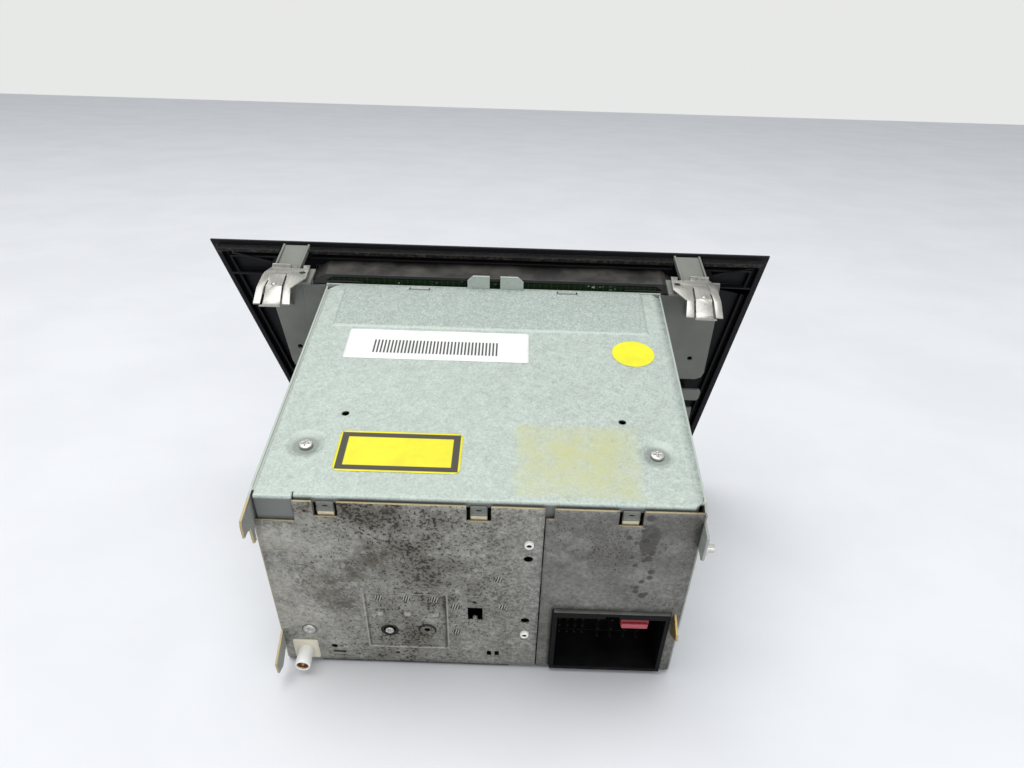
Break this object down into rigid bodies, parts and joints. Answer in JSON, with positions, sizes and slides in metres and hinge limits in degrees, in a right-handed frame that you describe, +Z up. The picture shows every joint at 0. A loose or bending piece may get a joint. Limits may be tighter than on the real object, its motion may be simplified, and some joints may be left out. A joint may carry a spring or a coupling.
{
  "type": "car cd player",
  "caption": "Slot-loading car CD receiver: steel box with its disc mechanism, black fascia with knobs and buttons, carrier with spring clips, power header and aerial socket at the back.",
  "frame": {"origin": "centre of the steel box's flat underside", "axes": "+Z up, +X to the right seen from the front, -Y out of the fascia, +Y towards the connectors"},
  "size_m": [0.306, 0.2073, 0.1727],
  "materials": {
    "top_cover": "zinc-coated sheet",
    "bottom_cover": "zinc-coated sheet",
    "right_side_wall": "dull zinc-coated sheet",
    "left_side_wall": "dull zinc-coated sheet",
    "rear_panel": "dull, dirty zinc-coated sheet",
    "amplifier_panel": "dull, dirty zinc-coated sheet",
    "front_plate": "zinc-coated sheet",
    "case_screws": "plated",
    "rear_pins": "natural nylon",
    "guide_stud": "plated",
    "aerial_socket": "cream plastic",
    "power_header": "black moulding",
    "header_contacts": "tinned brass",
    "main_board": "green circuit board",
    "amplifier_chip": "moulded chip",
    "capacitors": "sleeved cans",
    "tuner_can": "tinned sheet",
    "mech_frame": "zinc-coated sheet",
    "damper_bushes": "soft rubber",
    "fascia": "fine-grained black",
    "trim_panel": "gloss black",
    "display_lens": "smoked window",
    "display_module": "display in a black holder",
    "inner_frame": "black moulding",
    "front_board": "green circuit board",
    "carrier": "dark grey moulding",
    "spring_clip_right": "bright spring steel",
    "spring_clip_left": "bright spring steel",
    "slot_seal": "black felt",
    "tact_switches": "switches",
    "encoders": "encoders",
    "player_deck": "zinc-coated sheet",
    "spindle_motor": "plated can",
    "guide_rods": "ground",
    "sled_motor": "plated can",
    "turntable": "black moulding",
    "clamp_arm": "zinc-coated sheet",
    "clamp_puck": "white moulding",
    "mode_slider": "zinc-coated sheet",
    "roller_bracket": "zinc-coated sheet",
    "loading_motor": "plated can",
    "loading_roller": "grey rubber",
    "roller_shaft": "ground shaft with its gear",
    "idler_gear": "white moulding",
    "motor_pinion": "turned",
    "laser_sled": "cast body",
    "lens_holder": "black moulding",
    "objective_lens": "coated lens",
    "sled_gear": "white moulding",
    "sled_pinion": "moulded",
    "volume_shaft": "turned",
    "volume_knob": "soft black",
    "tune_knob": "soft black",
    "tune_shaft": "turned",
    "source_button": "black",
    "menu_button": "black",
    "eject_button": "black",
    "preset_rocker_1_2": "black",
    "preset_rocker_3_4": "black",
    "preset_rocker_5_6": "black"
  },
  "bodies": {
    "case": {"top_cover": "top_cover", "bottom_cover": "bottom_cover", "right_side_wall": "right_side_wall", "left_side_wall": "left_side_wall", "rear_panel": "rear_panel", "amplifier_panel": "amplifier_panel", "front_plate": "front_plate", "case_screws": "case_screws", "rear_pins": "rear_pins", "guide_stud": "guide_stud", "aerial_socket": "aerial_socket", "power_header": "power_header", "header_contacts": "header_contacts", "main_board": "main_board", "amplifier_chip": "amplifier_chip", "capacitors": "capacitors", "tuner_can": "tuner_can", "mech_frame": "mech_frame", "damper_bushes": "damper_bushes", "fascia": "fascia", "trim_panel": "trim_panel", "display_lens": "display_lens", "display_module": "display_module", "inner_frame": "inner_frame", "front_board": "front_board", "carrier": "carrier", "spring_clip_right": "spring_clip_right", "spring_clip_left": "spring_clip_left", "slot_seal": "slot_seal", "tact_switches": "tact_switches", "encoders": "encoders"},
    "deck": {"player_deck": "player_deck", "spindle_motor": "spindle_motor", "guide_rods": "guide_rods", "sled_motor": "sled_motor"},
    "turntable": {"turntable": "turntable"},
    "clamp_arm": {"clamp_arm": "clamp_arm"},
    "clamp_puck": {"clamp_puck": "clamp_puck"},
    "mode_slider": {"mode_slider": "mode_slider"},
    "roller_bracket": {"roller_bracket": "roller_bracket", "loading_motor": "loading_motor"},
    "roller": {"loading_roller": "loading_roller", "roller_shaft": "roller_shaft"},
    "idler_gear": {"idler_gear": "idler_gear"},
    "motor_pinion": {"motor_pinion": "motor_pinion"},
    "laser_sled": {"laser_sled": "laser_sled"},
    "lens": {"lens_holder": "lens_holder", "objective_lens": "objective_lens"},
    "sled_gear": {"sled_gear": "sled_gear"},
    "sled_pinion": {"sled_pinion": "sled_pinion"},
    "volume_push": {"volume_shaft": "volume_shaft"},
    "volume_knob": {"volume_knob": "volume_knob"},
    "tune_knob": {"tune_knob": "tune_knob", "tune_shaft": "tune_shaft"},
    "source_button": {"source_button": "source_button"},
    "menu_button": {"menu_button": "menu_button"},
    "eject_button": {"eject_button": "eject_button"},
    "rocker_1_2": {"preset_rocker_1_2": "preset_rocker_1_2"},
    "rocker_3_4": {"preset_rocker_3_4": "preset_rocker_3_4"},
    "rocker_5_6": {"preset_rocker_5_6": "preset_rocker_5_6"}
  },
  "joints": [
    {"name": "deck_float", "type": "slide", "parent": "case", "child": "deck", "axis": [0, 0, 1], "range_m": [-0.001, 0.001], "stiffness_N_per_m": 8000, "springref_m": 0.00049},
    {"name": "turntable_spin", "type": "hinge", "parent": "deck", "child": "turntable", "pos_m": [0, 0.002, 0.084], "axis": [0, 0, 1], "continuous": true},
    {"name": "slider_travel", "type": "slide", "parent": "deck", "child": "mode_slider", "axis": [0, 1, 0], "range_m": [-0.003, 0.01]},
    {"name": "clamp_arm_swing", "type": "hinge", "parent": "deck", "child": "clamp_arm", "pos_m": [0, 0.07, 0.092], "axis": [1, 0, 0], "range_deg": [-2.2, 7.1]},
    {"name": "clamp_puck_spin", "type": "hinge", "parent": "clamp_arm", "child": "clamp_puck", "pos_m": [0, 0.0019, 0.09532], "axis": [0, 0.1219, 0.9925], "continuous": true},
    {"name": "roller_bracket_swing", "type": "hinge", "parent": "deck", "child": "roller_bracket", "pos_m": [0, -0.03, 0.077], "axis": [1, 0, 0], "range_deg": [-4.3, 14.1]},
    {"name": "roller_spin", "type": "hinge", "parent": "roller_bracket", "child": "roller", "pos_m": [0, -0.064, 0.0825], "axis": [1, 0, 0], "continuous": true},
    {"name": "idler_spin", "type": "hinge", "parent": "roller_bracket", "child": "idler_gear", "pos_m": [0.06825, -0.04809, 0.08954], "axis": [1, 0, 0], "continuous": true},
    {"name": "loading_motor_spin", "type": "hinge", "parent": "roller_bracket", "child": "motor_pinion", "pos_m": [0.06, -0.041, 0.077], "axis": [1, 0, 0], "continuous": true},
    {"name": "sled_travel", "type": "slide", "parent": "deck", "child": "laser_sled", "axis": [1, 0, 0], "range_m": [0, 0.035]},
    {"name": "lens_focus", "type": "slide", "parent": "laser_sled", "child": "lens", "axis": [0, 0, 1], "range_m": [-0.0004, 0.0004], "stiffness_N_per_m": 60},
    {"name": "sled_gear_spin", "type": "hinge", "parent": "deck", "child": "sled_gear", "pos_m": [0.02, -0.0342, 0.072], "axis": [0, 0, 1], "range_deg": [-279, 0.5]},
    {"name": "sled_motor_spin", "type": "hinge", "parent": "deck", "child": "sled_pinion", "pos_m": [0.0254, -0.04355, 0.072], "axis": [0, 0, 1], "range_deg": [-0.5, 558]},
    {"name": "volume_push", "type": "slide", "parent": "case", "child": "volume_push", "axis": [0, 1, 0], "range_m": [0, 0.0005], "stiffness_N_per_m": 2000, "springref_m": -0.0005},
    {"name": "volume_turn", "type": "hinge", "parent": "volume_push", "child": "volume_knob", "pos_m": [-0.084, -0.108, 0.028], "axis": [0, 1, 0], "continuous": true},
    {"name": "tune_turn", "type": "hinge", "parent": "case", "child": "tune_knob", "pos_m": [0.084, -0.108, 0.028], "axis": [0, 1, 0], "continuous": true},
    {"name": "source_press", "type": "slide", "parent": "case", "child": "source_button", "axis": [0, 1, 0], "range_m": [0, 0.0008], "stiffness_N_per_m": 1000, "springref_m": -0.0003},
    {"name": "menu_press", "type": "slide", "parent": "case", "child": "menu_button", "axis": [0, 1, 0], "range_m": [0, 0.0008], "stiffness_N_per_m": 1000, "springref_m": -0.0003},
    {"name": "eject_press", "type": "slide", "parent": "case", "child": "eject_button", "axis": [0, 1, 0], "range_m": [0, 0.0008], "stiffness_N_per_m": 1000, "springref_m": -0.0003},
    {"name": "rocker_1_2_tilt", "type": "hinge", "parent": "case", "child": "rocker_1_2", "pos_m": [-0.037, -0.0968, 0.022], "axis": [0, 0, 1], "range_deg": [-3, 3], "stiffness_Nm_per_rad": 0.05},
    {"name": "rocker_3_4_tilt", "type": "hinge", "parent": "case", "child": "rocker_3_4", "pos_m": [0, -0.0968, 0.022], "axis": [0, 0, 1], "range_deg": [-3, 3], "stiffness_Nm_per_rad": 0.05},
    {"name": "rocker_5_6_tilt", "type": "hinge", "parent": "case", "child": "rocker_5_6", "pos_m": [0.037, -0.0968, 0.022], "axis": [0, 0, 1], "range_deg": [-3, 3], "stiffness_Nm_per_rad": 0.05}
  ],
  "couplings": [
    {"joint": "clamp_arm_swing", "follows": "slider_travel", "rad_per_m": 12.217},
    {"joint": "roller_bracket_swing", "follows": "slider_travel", "rad_per_m": 24.435},
    {"joint": "idler_spin", "follows": "roller_spin", "ratio": -0.61111},
    {"joint": "loading_motor_spin", "follows": "roller_spin", "ratio": 1.8333},
    {"joint": "sled_gear_spin", "follows": "sled_travel", "rad_per_m": -138.89},
    {"joint": "sled_motor_spin", "follows": "sled_travel", "rad_per_m": 277.78}
  ]
}
